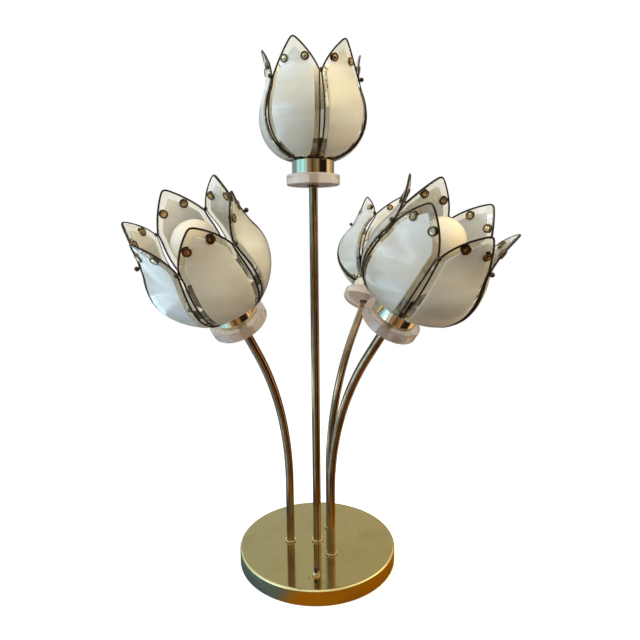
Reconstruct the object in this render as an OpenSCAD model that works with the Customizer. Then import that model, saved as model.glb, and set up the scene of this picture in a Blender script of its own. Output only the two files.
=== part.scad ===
/* [Base] */
// Diameter of the round brass base
base_d = 216; // [180:1:240]
// Height from the table to the top of the base
base_h = 21.3; // [20.5:0.1:26]
// Thickness of the spun base cover
cover_wall = 1.5; // [1.2:0.1:2]
// Radius rolled onto the top edge of the cover
cover_edge_r = 3; // [2:0.5:5]
// Distance from the lamp's axis to the three outer stem holes
hole_circle_r = 37.5; // [34:0.5:44]
// Thickness of the felt pad under the base
pad_t = 2; // [1.6:0.1:2.4]

/* [Switch] */
// Distance of the push switch in from the front of the rim
switch_edge = 31; // [26:1:36]
// Distance of the push switch to the left of the lamp's axis
switch_x = 2; // [0:0.5:8]
// Diameter of the push button
button_d = 5.6; // [5:0.1:6.6]
// Height of the button above the base
button_h = 12.5; // [12:0.5:16]
// Distance the button travels when pressed
button_travel = 3; // [2:0.5:4]

/* [Stems] */
// Outside diameter of the stem tube
stem_d = 11.1; // [10.6:0.1:11.4]
// Bore of the stem tube
stem_bore = 8.7; // [7:0.1:9]
// Height of the middle flower's disc above the table
middle_h = 509.8; // [470:0.1:540]
// Straight length of an outer stem above the base
stem_rise = 87; // [70:1:120]
// Radius of an outer stem's bend
bend_r = 338; // [280:1:380]
// Lean of the outer flowers, which is the angle of the bend
lean = 35.6; // [28:0.1:40]
// Straight length between the bend and the disc
stem_neck = 51; // [40:1:60]

/* [Disc and cup] */
// Diameter of the acrylic disc
disc_d = 67.4; // [60:0.1:70]
// Thickness of the acrylic disc
disc_t = 12.7; // [12:0.1:16]
// Diameter of the brass cup
cup_d = 53; // [51:0.1:55]
// Height of the cup's rim above the bottom of the disc
rim_z = 29.6; // [28:0.1:31]
// Thickness of the cup's wall
cup_wall = 1.4; // [1:0.1:1.6]

/* [Petals] */
// Thickness of the glass
glass_t = 2.4; // [2:0.1:3]
// Distance from the flower's axis to the middle of the glass at its widest
belly_x = 65; // [62:0.1:67]
// Height at which the glass is widest above the bottom of the disc
belly_z = 79.2; // [77:0.1:81]
// Radius of the upper curve of the petal, middle surface
shoulder_r = 70; // [67:0.5:74]
// Angle over which the upper curve turns inward
shoulder_a = 21; // [19:0.2:22]
// Radius of the outward flare at the tip, middle surface
flare_r = 72; // [69:0.5:78]
// Distance behind the flower's axis of the line that a petal is bent round, across its width
back_x = 50; // [30:1:70]
// Height of the glass tip above the bottom of the disc
tip_z = 157.4; // [150:0.1:162]
// Height at which two neighbours meet at the ball
join_z = 120; // [116:0.5:124]
// Radius of the two arcs that point the petal
arch_r = 110; // [95:1:125]
// Half the gap between neighbouring wires at the ball, centre to join
join_gap = 1.2; // [1.1:0.1:1.6]
// Half the gap between neighbouring wires at the belly
belly_gap = 2.8; // [2:0.1:3.2]

/* [Petal fittings] */
// Diameter of the frame wire
wire_d = 2; // [1.8:0.1:2.2]
// Diameter of the ball at each join
ball_d = 5.2; // [4.5:0.1:6]
// Diameter of the clip discs
clip_d = 9.4; // [8:0.1:10]
// Thickness of a clip disc
clip_t = 1; // [0.8:0.1:1.2]
// Height of the clips above the bottom of the disc
clip_z = 136.5; // [134:0.5:140]
// Sideways distance of the clips from the petal's middle line
clip_w = 12.4; // [11:0.1:13]
// Width of the six straps behind the joins
strap_w = 20; // [16:0.5:22]
// Thickness of the straps
strap_t = 0.8; // [0.6:0.1:1]
// Angle that a strap runs up the bowl of the petal
strap_a = 40; // [26:1:56]

/* [Bulb and socket] */
// Diameter of the globe bulb
globe_d = 50; // [45:0.5:52]
// Height of the globe's centre above the bottom of the disc
globe_z = 114; // [108:0.5:116]
// Diameter of the bulb's screw cap
cap_d = 11.8; // [11.6:0.1:12]
// Height of the socket's top above the bottom of the disc
socket_top = 79; // [76:0.5:82]
// Outside diameter of the socket
socket_d = 19.6; // [18:0.1:22]

/* [Hidden] */
$fn = 64;
// Clearance between two pieces that sit on each other
seat = 0.1;
// Radial clearance of threads and running fits
running = 0.05;
// Clearance between glass and the metal that holds it
cushion = 0.15;
base_r = base_d / 2;
cover_floor = base_h - cover_wall;
cover_lift = 0.5;
switch_y = base_r - switch_edge;
// Azimuth of each outer stem's hole and the way its bend faces, as seen in the photo
hole_az = [180, 300, 60];
bend_az = [237.7, 314, 52];
// Azimuth of the first petal of each flower: middle, left, right, back
petal_az = [249.4, 290.6, 226.9, 267];
middle = 0;
petals = 6;
pitch_a = 360 / petals;
join_a = pitch_a / 2;

// Stem ends
stem_insert = 4.5;
bead = 0.1;
bead_half = 0.6;
outer_foot_z = 12.5;
middle_foot_z = 4.6;
seat_ring_d = 15.4;
seat_ring_t = 2.6;
nut_af = 17;
nut_t = 4;
hex = 2 / sqrt(3);

// Base weight
weight_gap = 8.5;
weight_r = base_r - cover_wall - weight_gap;
stem_clear = 2;
switch_clear = 1.5;
weight_z = pad_t + seat;
weight_top = cover_floor - seat - nut_t - seat;
recess_d = 26;
recess_top = 9.6;

// Cord gland in the back of the rim
gland_z = 10;
gland_bore = 6.6;
gland_d = 10;
gland_flange_d = 13.4;
gland_flange_t = 1.6;

// Switch
bush_d = button_d + 2.2;
bush_rise = 2.2;
switch_nut_d = bush_d + 2.6;
switch_nut_t = 4;
switch_nut_foot = 0.8;
switch_body_d = 18;
switch_body_z = 4.5;
button_flange_d = 9;
button_flange_t = 1.6;
button_room_z = 12.5;
button_top = base_h + button_h;
button_waist_d = button_d - 1;
button_head = 4.3;
button_crown = 2;

// Ferrule and nipple at the foot of a flower
ferrule_d = 13.4;
ferrule_flange_d = 14.6;
ferrule_flange_t = 1.4;
disc_bore = ferrule_d + 2 * seat;
disc_edge_r = 1.6;
nipple_d = 9.5;
nipple_bore = 6.8;
nipple_top = 23;
cup_z = disc_t + seat;
cup_floor = 1;
cup_corner_r = 1.2;
cup_r = cup_d / 2;
spider_z = cup_z + cup_floor + seat;
socket_nut_af = 13;
socket_nut_t = 3;
socket_nut_z = spider_z + strap_t + seat;
socket_z = socket_nut_z + socket_nut_t + seat;

// Socket and bulb
hub_d = 15;
hub_h = 8;
bracket_w = 9;
bracket_t = 1.6;
sleeve_z = 42;
cap_z = 60;
contact_d = 5;
contact_h = 1.4;
globe_r = globe_d / 2;
globe_wall = 0.8;
neck_r = 6.8;
neck_z = 90;
lead_d = 5;

// Section through the middle of a petal: a bowl that starts on the cup, a shoulder and a flare.
// Across its width a petal is flatter than the flower is round, and its foot reaches the cup's
// rim at both ends
wire_r = wire_d / 2;
rim_r = cup_r - cup_wall / 2;
foot_x = rim_r * cos(join_a) + 1.5;
foot_z = rim_z + cushion + wire_r;
bowl_r = (pow(belly_x - foot_x, 2) + pow(belly_z - foot_z, 2)) / (2 * (belly_x - foot_x));
bowl_c = [belly_x - bowl_r, belly_z];
shoulder_c = [belly_x - shoulder_r, belly_z];
flare_c = shoulder_c + (shoulder_r + flare_r) * [cos(shoulder_a), sin(shoulder_a)];
rim_a = -acos((foot_x - bowl_c[0]) / bowl_r);
glass_foot_x = foot_x + wire_r + 2 * cushion;
glass_foot_a = -acos((glass_foot_x - bowl_c[0]) / bowl_r);
wire_off = wire_r + cushion;
glass_trim = 4;
glass_span_a = 40;
flare_end_a = 180 - asin((tip_z + glass_trim - flare_c[1]) / flare_r);
strap_x = (cup_r - cup_wall - 0.4) * cos(join_a);
strap_off = glass_t / 2 + 2 * cushion;
strap_hub_r = 19.5;
strap_steps = 8;
glass_bowl_steps = 12;
glass_shoulder_steps = 4;
glass_flare_steps = 8;

// Distance from the flower's axis of the middle of a petal at a height, middle surface
function surface_x(z) =
    let (top = shoulder_c[1] + shoulder_r * sin(shoulder_a))
    z < belly_z ? bowl_c[0] + sqrt(pow(bowl_r, 2) - pow(z - bowl_c[1], 2))
    : z < top ? shoulder_c[0] + sqrt(pow(shoulder_r, 2) - pow(z - shoulder_c[1], 2))
    : flare_c[0] - sqrt(pow(flare_r, 2) - pow(z - flare_c[1], 2));

// The side cut of a petal is a large circle, closest to the join at its two ends
side_mid_z = 75;
side_half = join_z - side_mid_z;
side_rise = belly_gap - join_gap;
side_r = (pow(side_half, 2) + pow(side_rise, 2)) / (2 * side_rise);
side_c = belly_gap + wire_off - side_r;
function wire_gap(z) = side_c + sqrt(pow(side_r - wire_off, 2) - pow(z - side_mid_z, 2));

// Half width at which a petal is a distance away from the join, and along the side cut
function cut_w(x, gap) =
    let (v = gap + back_x * sin(join_a), u = sqrt(pow(x + back_x, 2) - pow(v, 2)))
    u * sin(join_a) - v * cos(join_a);
function side_w(x, z) = cut_w(x, wire_gap(z));
function bent_x(x, w) = sqrt(pow(x + back_x, 2) - pow(w, 2)) - back_x;

// The arch is two circles through the glass corner at the join and the tip
join_x = surface_x(join_z);
corner_w = cut_w(join_x, join_gap + wire_off);
chord = [-corner_w, tip_z - join_z];
chord_n = [-chord[1], chord[0]] / norm(chord);
arch_c = [corner_w / 2, (join_z + tip_z) / 2]
    + chord_n * sqrt(pow(arch_r, 2) - pow(norm(chord) / 2, 2));
arch_wire_r = arch_r + wire_off;
function arch_w(z) = arch_c[0] + sqrt(max(0, pow(arch_wire_r, 2) - pow(z - arch_c[1], 2)));
wire_tip_z = arch_c[1] + sqrt(pow(arch_wire_r, 2) - pow(arch_c[0], 2));

// Centre line of a wire frame in the petal's own frame, x outward
bowl_steps = 8;
side_steps = 5;
arch_steps = 7;
foot_steps = 4;
function on_surface(w, z) = [bent_x(surface_x(z), w), w, z];
function bowl_point(a) =
    let (x = bowl_c[0] + bowl_r * cos(a), z = bowl_c[1] + bowl_r * sin(a), w = side_w(x, z))
    [bent_x(x, w), w, z];
function upper_point(z) = on_surface(max(0, min(side_w(surface_x(z), z), arch_w(z))), z);
half_wire = concat(
    [for (k = [0 : bowl_steps]) bowl_point(rim_a * (1 - k / bowl_steps))],
    [for (k = [1 : side_steps]) upper_point(belly_z + (join_z - belly_z) * k / side_steps)],
    [for (k = [1 : arch_steps - 1]) upper_point(join_z + (wire_tip_z - join_z) * k / arch_steps)]
);
foot_w = half_wire[0][1];
foot_wire = [for (k = [1 : foot_steps - 1])
    let (w = foot_w * (2 * k / foot_steps - 1))
    [bent_x(foot_x, w), w, foot_z]];
half_count = len(half_wire);
wire_path = concat(
    half_wire,
    [on_surface(0, wire_tip_z)],
    [for (k = [half_count - 1 : -1 : 0]) [half_wire[k][0], -half_wire[k][1], half_wire[k][2]]],
    foot_wire
);
wire_sides = 6;

// Colours, as the photo shows them
brass = [0.76, 0.66, 0.40];
dark_brass = [0.33, 0.26, 0.16];
clip_bronze = [0.42, 0.31, 0.18];
opal = [0.86, 0.85, 0.78];
acrylic = [0.86, 0.80, 0.76];
warm_white = [0.98, 0.90, 0.76];
iron = [0.25, 0.26, 0.27];
felt = [0.16, 0.22, 0.18];
phenolic = [0.12, 0.10, 0.09];
card = [0.90, 0.88, 0.82];
zinc = [0.72, 0.73, 0.74];

// Stands what is drawn at the foot of flower i, with z along the flower's axis
module at_flower(i) {
    if (i == middle) {
        translate([0, 0, middle_h]) children();
    } else {
        at_hole(i) rotate([0, 0, bend_az[i - 1]])
            translate([bend_r, 0, base_h + stem_rise])
                rotate([0, lean, 0])
                    translate([-bend_r, 0, stem_neck])
                        rotate([0, 0, -bend_az[i - 1]])
                            children();
    }
}

// Moves what is drawn to the hole of stem i
module at_hole(i) {
    if (i == middle) {
        children();
    } else {
        rotate([0, 0, hole_az[i - 1]]) translate([hole_circle_r, 0, 0])
            rotate([0, 0, -hole_az[i - 1]]) children();
    }
}

// One child for each petal of flower i, x outward
module each_petal(i) {
    for (k = [0 : petals - 1])
        rotate([0, 0, petal_az[i] + k * pitch_a]) children();
}

// One child for each join between petals of flower i, x outward
module each_join(i) {
    rotate([0, 0, join_a]) each_petal(i) children();
}

module ring(d_out, d_in, h) {
    difference() {
        cylinder(d = d_out, h = h);
        translate([0, 0, -1]) cylinder(d = d_in, h = h + 2);
    }
}

module hex_nut(af, bore, h) {
    difference() {
        cylinder(d = af * hex, h = h, $fn = 6);
        translate([0, 0, -1]) cylinder(d = bore, h = h + 2);
    }
}

module base_cover() {
    color(brass) difference() {
        rotate_extrude($fn = 128) {
            difference() {
                union() {
                    translate([0, cover_lift])
                        square([base_r, base_h - cover_edge_r - cover_lift]);
                    square_to_edge();
                    translate([base_r - cover_edge_r, base_h - cover_edge_r])
                        circle(r = cover_edge_r);
                }
                translate([0, -1]) square([base_r - cover_wall, cover_floor - cover_edge_r + 2.5]);
                square([base_r - cover_edge_r, cover_floor]);
            }
        }
        for (i = [0 : 3])
            at_hole(i) cylinder(d = stem_d + 2 * seat, h = base_h + 1);
        translate([-switch_x, -switch_y, 0]) cylinder(d = bush_d + 2 * seat, h = base_h + 1);
        translate([0, 0, gland_z]) rotate([-90, 0, 0]) cylinder(d = gland_d + 2 * seat, h = base_r + 1);
    }
}

// Flat middle of the cover's section, up to where the edge rolls over
module square_to_edge() {
    square([base_r - cover_edge_r, base_h]);
}

module base_weight() {
    color(iron) difference() {
        translate([0, 0, weight_z]) cylinder(r = weight_r, h = weight_top - weight_z, $fn = 128);
        cylinder(d = stem_d + 2 * seat, h = base_h);
        translate([0, 0, -1]) cylinder(d = recess_d, h = recess_top + 1);
        for (i = [1 : 3])
            at_hole(i) cylinder(d = stem_d + 2 * stem_clear, h = base_h);
        translate([-switch_x, -switch_y, 0]) cylinder(d = switch_body_d + 2 * switch_clear, h = base_h);
    }
}

module base_pad() {
    color(felt) cylinder(r = base_r - cover_wall - seat, h = pad_t, $fn = 128);
}

module stem_seat_rings() {
    color(brass) for (i = [0 : 3])
        at_hole(i) translate([0, 0, base_h + seat / 2])
            ring(seat_ring_d, stem_d + 2 * seat, seat_ring_t);
}

module stem_lock_nuts() {
    color(zinc) for (i = [0 : 3])
        at_hole(i) translate([0, 0, cover_floor - seat - nut_t])
            hex_nut(nut_af, stem_d + 2 * running, nut_t);
}

module weight_nut() {
    color(zinc) translate([0, 0, recess_top - seat - nut_t])
        hex_nut(nut_af, stem_d + 2 * running, nut_t);
}

// The flat flanges of the gland stand clear of the round wall at their edges
module cord_gland() {
    wall_in = base_r - cover_wall;
    sag = wall_in - sqrt(pow(wall_in, 2) - pow(gland_flange_d / 2, 2));
    inner_face = wall_in - sag - seat;
    outer_face = base_r + seat;
    color(phenolic) translate([0, 0, gland_z]) rotate([-90, 0, 0]) difference() {
        union() {
            cylinder_between(gland_flange_d, inner_face - gland_flange_t, inner_face);
            cylinder_between(gland_d, inner_face - gland_flange_t / 2, outer_face + gland_flange_t / 2);
            cylinder_between(gland_flange_d, outer_face, outer_face + gland_flange_t);
        }
        cylinder_between(gland_bore, wall_in - gland_flange_d, base_r + gland_flange_d);
    }
}

module switch_body() {
    body_top = cover_floor - seat;
    color(phenolic) translate([-switch_x, -switch_y, 0]) difference() {
        union() {
            translate([0, 0, switch_body_z]) cylinder(d = switch_body_d, h = body_top - switch_body_z);
            cylinder_between(bush_d, body_top - 1, base_h + bush_rise);
        }
        cylinder_between(button_flange_d + 1, button_room_z - button_travel - 1, cover_floor - 2);
        cylinder_between(button_d + 2 * running, cover_floor - 3, base_h + 8);
    }
}

module cylinder_between(d, z0, z1) {
    translate([0, 0, z0]) cylinder(d = d, h = z1 - z0);
}

// Domed nut that closes over the top of the switch's bush
module switch_ring_nut() {
    nut_r = switch_nut_d / 2;
    hole_r = button_d / 2 + 0.3;
    crown_r = hole_r + 0.5;
    thread_r = bush_d / 2 + running;
    step = 0.4;
    rise = switch_nut_t - switch_nut_foot;
    dome = [for (k = [0 : 5])
        [crown_r + (nut_r - step - crown_r) * cos(18 * k), switch_nut_foot + rise * sin(18 * k)]];
    color(brass) translate([-switch_x, -switch_y, base_h + seat / 2]) rotate_extrude()
        polygon(concat(
            [[thread_r, 0], [nut_r, 0], [nut_r, switch_nut_foot]],
            dome,
            [[hole_r, switch_nut_t], [hole_r, bush_rise + seat], [thread_r, bush_rise + seat]]
        ));
}

module switch_button() {
    waist_z = base_h + switch_nut_t + button_travel + 0.4;
    flange_z = cover_floor - 2.2;
    ball_r = 0.55 * button_d;
    color(phenolic) translate([-switch_x, -switch_y, 0]) {
        cylinder_between(button_flange_d, flange_z - button_flange_t, flange_z);
        cylinder_between(button_d, flange_z - button_flange_t, waist_z);
        cylinder_between(button_waist_d, waist_z - 0.5, button_top - button_crown);
        cylinder_between(button_d, button_top - button_head, button_top - button_crown);
        translate([0, 0, button_top - button_crown]) intersection() {
            cylinder(d = button_d, h = button_crown);
            translate([0, 0, button_crown - ball_r]) sphere(r = ball_r);
        }
    }
}

// A round bar or tube between two heights
module tube_between(d, bore, z0, z1) {
    difference() {
        cylinder_between(d, z0, z1);
        if (bore > 0) cylinder_between(bore, z0 - 1, z1 + 1);
    }
}

// A bar or tube along stem i, from its foot to a height in the flower, with a fine bead
// where the bend ends
module stem_run(i, d, bore, foot, top) {
    if (i == middle) {
        tube_between(d, bore, foot, middle_h + top);
    } else {
        at_hole(i) {
            tube_between(d, bore, foot, base_h + stem_rise);
            rotate([0, 0, bend_az[i - 1]]) translate([bend_r, 0, base_h + stem_rise])
                rotate([90, 0, 180]) rotate_extrude(angle = lean, $fn = 96)
                    translate([bend_r, 0]) difference() {
                        circle(d = d, $fn = 48);
                        if (bore > 0) circle(d = bore, $fn = 48);
                    }
        }
        at_flower(i) {
            tube_between(d, bore, -stem_neck, top);
            tube_between(d + bead, bore > 0 ? bore - bead : 0, -stem_neck - bead_half, -stem_neck + bead_half);
        }
    }
}

module stem(i) {
    color(brass) stem_run(i, stem_d, stem_bore, i == middle ? middle_foot_z : outer_foot_z, stem_insert);
}

module stem_middle() { stem(0); }
module stem_left() { stem(1); }
module stem_right() { stem(2); }
module stem_back() { stem(3); }

module stem_ferrules() {
    color(brass) for (i = [0 : 3]) at_flower(i) difference() {
        union() {
            cylinder_between(ferrule_flange_d, -seat - ferrule_flange_t, -seat);
            cylinder_between(ferrule_d, -seat - 0.5, disc_t - seat);
        }
        cylinder_between(stem_d + 2 * running, -3, stem_insert + seat);
        cylinder_between(nipple_d + 2 * running, 0, disc_t + 1);
    }
}

module socket_nipples() {
    color(zinc) for (i = [0 : 3]) at_flower(i) difference() {
        cylinder_between(nipple_d, stem_insert + 2 * seat, nipple_top);
        cylinder_between(nipple_bore, 0, nipple_top + 1);
    }
}

module socket_nuts() {
    color(zinc) for (i = [0 : 3]) at_flower(i) translate([0, 0, socket_nut_z])
        hex_nut(socket_nut_af, nipple_d + 2 * running, socket_nut_t);
}

// The insulated lead inside each stem, up to the underside of the sleeve
module lamp_leads() {
    color(card) for (i = [0 : 3])
        stem_run(i, lead_d, 0, i == middle ? middle_foot_z + 1 : outer_foot_z - 2, sleeve_z - seat);
}

// The closed splice caps under the outer stems, standing on the pad
module wire_nuts() {
    color(phenolic) for (i = [1 : 3]) at_hole(i)
        translate([0, 0, pad_t + seat])
            cylinder(d1 = 7, d2 = 10, h = outer_foot_z - 2 - pad_t - 2 * seat);
}

module acrylic_disc(i) {
    half_t = disc_t / 2;
    edge = disc_edge_r;
    color(acrylic) at_flower(i) difference() {
        rotate_extrude($fn = 96) {
            square([disc_d / 2 - edge, disc_t]);
            translate([0, edge]) square([disc_d / 2, disc_t - 2 * edge]);
            for (z = [edge, disc_t - edge])
                translate([disc_d / 2 - edge, z]) circle(r = edge);
        }
        translate([0, 0, -half_t]) cylinder(d = disc_bore, h = 2 * disc_t);
    }
}

module acrylic_disc_middle() { acrylic_disc(0); }
module acrylic_disc_left() { acrylic_disc(1); }
module acrylic_disc_right() { acrylic_disc(2); }
module acrylic_disc_back() { acrylic_disc(3); }

module cup(i) {
    corner = cup_corner_r;
    color(brass) at_flower(i) difference() {
        rotate_extrude($fn = 96) {
            translate([0, cup_z]) square([cup_r - corner, cup_floor]);
            translate([cup_r - cup_wall, cup_z + corner]) square([cup_wall, rim_z - cup_z - corner]);
            intersection() {
                translate([cup_r - corner, cup_z + corner]) circle(r = corner);
                translate([cup_r - 2 * corner, cup_z]) square([2 * corner, corner]);
            }
            translate([cup_r - cup_wall, cup_z + cup_floor - 0.2]) square([cup_wall - 0.3, corner]);
        }
        cylinder(d = nipple_d + 2 * seat, h = rim_z);
    }
}

module cup_middle() { cup(0); }
module cup_left() { cup(1); }
module cup_right() { cup(2); }
module cup_back() { cup(3); }

// The solid inside six walls of one section, a wall to each petal of flower i
module six_walled(i, section) {
    back = [for (k = [len(section) - 1 : -1 : 0]) [-section[k][0], section[k][1]]];
    intersection_for (k = [0 : petals / 2 - 1])
        rotate([0, 0, petal_az[i] + k * pitch_a])
            rotate([90, 0, 0]) linear_extrude(height = 4 * belly_x, center = true)
                polygon(concat(section, back));
}

// Half section of the room inside one face of the straps: up the cup's wall, then along the
// bowl at its two side edges
function strap_room(x, floor_z, off, end_a) =
    let (bowl = [for (k = [0 : strap_steps])
        let (a = rim_a + (end_a - rim_a) * k / strap_steps, p = bowl_point(a))
        [p[0], p[2]] - off * [cos(a), sin(a)]])
    concat([[x, floor_z], [x, bowl[0][1] - 0.3]], bowl);

// Six straps on one hub, bent up inside the cup and out behind the joins, each with a fold
// along its middle where two petals meet
module petal_straps(i) {
    end_a = rim_a + strap_a;
    color(brass) at_flower(i) difference() {
        intersection() {
            six_walled(i, strap_room(strap_x, spider_z, strap_off, end_a));
            linear_extrude(height = tip_z) {
                circle(r = strap_hub_r);
                each_join(i) translate([0, -strap_w / 2]) square([2 * belly_x, strap_w]);
            }
        }
        six_walled(i, strap_room(strap_x - strap_t, spider_z + strap_t, strap_off + strap_t, end_a + 4));
        cylinder(d = nipple_d + 2 * seat, h = rim_z);
    }
}

module petal_straps_middle() { petal_straps(0); }
module petal_straps_left() { petal_straps(1); }
module petal_straps_right() { petal_straps(2); }
module petal_straps_back() { petal_straps(3); }

// Points along an arc about c, at radius r
function arc(c, r, a0, a1, steps, first) =
    [for (k = [first : steps]) let (a = a0 + (a1 - a0) * k / steps) c + r * [cos(a), sin(a)]];

// One face of the glass in section: bowl, shoulder and flare on one line
function glass_face(off) = concat(
    arc(bowl_c, bowl_r + off, glass_foot_a, 0, glass_bowl_steps, 0),
    arc(shoulder_c, shoulder_r + off, 0, shoulder_a, glass_shoulder_steps, 1),
    arc(flare_c, flare_r - off, 180 + shoulder_a, flare_end_a, glass_flare_steps, 1)
);

// Half section of the bent glass
module glass_section() {
    inner = glass_face(-glass_t / 2);
    outer = glass_face(glass_t / 2);
    count = len(inner);
    polygon(concat(outer, [for (k = [count - 1 : -1 : 0]) inner[k]]));
}

// Pointed outline of a petal seen from outside, y across and z up
module arch_outline() {
    wide = 3 * belly_x;
    translate([-wide / 2, 0]) square([wide, belly_z + glass_trim]);
    intersection() {
        translate([arch_c[0], arch_c[1]]) circle(r = arch_r, $fn = 128);
        translate([-arch_c[0], arch_c[1]]) circle(r = arch_r, $fn = 128);
    }
}

module petal_glass() {
    reach = 2 * belly_x;
    difference() {
        intersection() {
            translate([-back_x, 0, 0]) rotate([0, 0, -glass_span_a / 2])
                rotate_extrude(angle = glass_span_a, $fn = 144)
                    translate([back_x, 0]) glass_section();
            rotate([90, 0, 90]) linear_extrude(height = reach) arch_outline();
        }
        for (side = [-1, 1])
            rotate([0, 0, side * join_a])
                rotate([90, 0, 90]) linear_extrude(height = reach)
                    mirror([side > 0 ? 1 : 0, 0]) side_outline();
    }
}

// What is cut from a petal's side, x from the join into the petal and z up
module side_outline() {
    intersection() {
        translate([side_c, side_mid_z]) circle(r = side_r, $fn = 128);
        translate([-belly_x, 0]) square([2 * belly_x, 2 * tip_z]);
    }
}

module petals_of(i) {
    color(opal) at_flower(i) each_petal(i) petal_glass();
}

module petals_middle() { petals_of(0); }
module petals_left() { petals_of(1); }
module petals_right() { petals_of(2); }
module petals_back() { petals_of(3); }

// Direction out of the petal's surface at a point of it
function outward(p) =
    let (
        r = norm([p[0] + back_x, p[1]]),
        at = [r - back_x, p[2]],
        s = p[2] < belly_z ? at - bowl_c
            : p[2] < flare_c[1] - flare_r * sin(shoulder_a) ? at - shoulder_c
            : flare_c - at,
        n = s / norm(s)
    )
    [n[0] * (p[0] + back_x) / r, n[0] * p[1] / r, n[1]];

// One closed loop of wire, swept along a list of points
module wire_loop(path) {
    count = len(path);
    points = [for (k = [0 : count - 1])
        let (
            before = path[(k + count - 1) % count],
            after = path[(k + 1) % count],
            t0 = (path[k] - before) / norm(path[k] - before),
            t1 = (after - path[k]) / norm(after - path[k]),
            t = (t0 + t1) / norm(t0 + t1),
            b0 = cross(t, outward(path[k])),
            b = b0 / norm(b0),
            n = cross(b, t)
        )
        for (j = [0 : wire_sides - 1])
            let (a = j * 360 / wire_sides)
            path[k] + wire_r * (cos(a) * b + sin(a) * n)];
    faces = [for (k = [0 : count - 1], j = [0 : wire_sides - 1])
        let (k2 = (k + 1) % count, j2 = (j + 1) % wire_sides)
        [k * wire_sides + j, k2 * wire_sides + j, k2 * wire_sides + j2, k * wire_sides + j2]];
    polyhedron(points, faces, convexity = 8);
}

module wire_frames(i) {
    color(dark_brass) at_flower(i) each_petal(i) wire_loop(wire_path);
}

module wire_frames_middle() { wire_frames(0); }
module wire_frames_left() { wire_frames(1); }
module wire_frames_right() { wire_frames(2); }
module wire_frames_back() { wire_frames(3); }

// Two pairs of clip discs hold each petal between them, inside and outside
module petal_clips() {
    spot = on_surface(clip_w, clip_z);
    out = outward(spot);
    tilt_a = acos(out[2]);
    turn_a = atan2(out[1], out[0]);
    gap = glass_t / 2 + 2 * cushion;
    color(clip_bronze) for (i = [0 : 3]) at_flower(i) each_petal(i)
        for (side = [-1, 1])
            mirror([0, side < 0 ? 1 : 0, 0]) translate(spot)
                rotate([0, tilt_a, turn_a]) {
                    cylinder_between(clip_d, gap, gap + clip_t);
                    cylinder_between(clip_d, -gap - clip_t, -gap);
                }
}

// One ball lies outside on the two wires at each join
module join_balls() {
    lie = sqrt(pow(wire_r + seat + ball_d / 2, 2) - pow(join_gap, 2));
    wire_at = on_surface(side_w(join_x, join_z), join_z);
    ball_x = wire_at[0] * cos(join_a) + wire_at[1] * sin(join_a) + lie;
    color(dark_brass) for (i = [0 : 3]) at_flower(i) each_join(i)
        translate([ball_x, 0, join_z]) sphere(d = ball_d, $fn = 32);
}

module socket(i) {
    color(card) at_flower(i) difference() {
        union() {
            cylinder_between(hub_d, socket_z, socket_z + hub_h);
            for (side = [-1, 1])
                translate([side * (hub_d / 2 - bracket_t) - bracket_t / 2, -bracket_w / 2, socket_z + 1])
                    cube([bracket_t, bracket_w, sleeve_z - socket_z + 1]);
            cylinder_between(socket_d, sleeve_z, socket_top);
        }
        cylinder_between(nipple_d + 2 * running, 0, nipple_top + 2);
        cylinder_between(lead_d + 2 * running, 0, sleeve_z);
        cylinder_between(cap_d + 2 * running, cap_z - contact_h - seat, socket_top + 1);
    }
}

module socket_middle() { socket(0); }
module socket_left() { socket(1); }
module socket_right() { socket(2); }
module socket_back() { socket(3); }

module bulb_cap(i) {
    color(zinc) at_flower(i) {
        cylinder_between(cap_d, cap_z, socket_top + 1);
        cylinder_between(contact_d, cap_z - contact_h, cap_z + 1);
    }
}

module bulb_cap_middle() { bulb_cap(0); }
module bulb_cap_left() { bulb_cap(1); }
module bulb_cap_right() { bulb_cap(2); }
module bulb_cap_back() { bulb_cap(3); }

// Blown globe with a short neck that stands on the cap
module bulb_globe(i) {
    foot = socket_top + 1 + seat;
    color(warm_white) at_flower(i) difference() {
        union() {
            cylinder_between(2 * neck_r, foot, neck_z + 2);
            translate([0, 0, globe_z]) sphere(r = globe_r, $fn = 96);
        }
        cylinder_between(2 * (neck_r - globe_wall), foot - 1, neck_z + 2);
        translate([0, 0, globe_z]) sphere(r = globe_r - globe_wall, $fn = 96);
    }
}

module bulb_globe_middle() { bulb_globe(0); }
module bulb_globe_left() { bulb_globe(1); }
module bulb_globe_right() { bulb_globe(2); }
module bulb_globe_back() { bulb_globe(3); }

base_cover();
base_weight();
base_pad();
stem_seat_rings();
stem_lock_nuts();
weight_nut();
cord_gland();
switch_body();
switch_ring_nut();
switch_button();
stem_middle();
stem_left();
stem_right();
stem_back();
stem_ferrules();
socket_nipples();
socket_nuts();
lamp_leads();
wire_nuts();
acrylic_disc_middle();
acrylic_disc_left();
acrylic_disc_right();
acrylic_disc_back();
cup_middle();
cup_left();
cup_right();
cup_back();
petal_straps_middle();
petal_straps_left();
petal_straps_right();
petal_straps_back();
petals_middle();
petals_left();
petals_right();
petals_back();
wire_frames_middle();
wire_frames_left();
wire_frames_right();
wire_frames_back();
petal_clips();
join_balls();
socket_middle();
socket_left();
socket_right();
socket_back();
bulb_cap_middle();
bulb_cap_left();
bulb_cap_right();
bulb_cap_back();
bulb_globe_middle();
bulb_globe_left();
bulb_globe_right();
bulb_globe_back();
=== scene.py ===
import math

import bmesh
import bpy
from mathutils import Matrix, Vector


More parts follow.
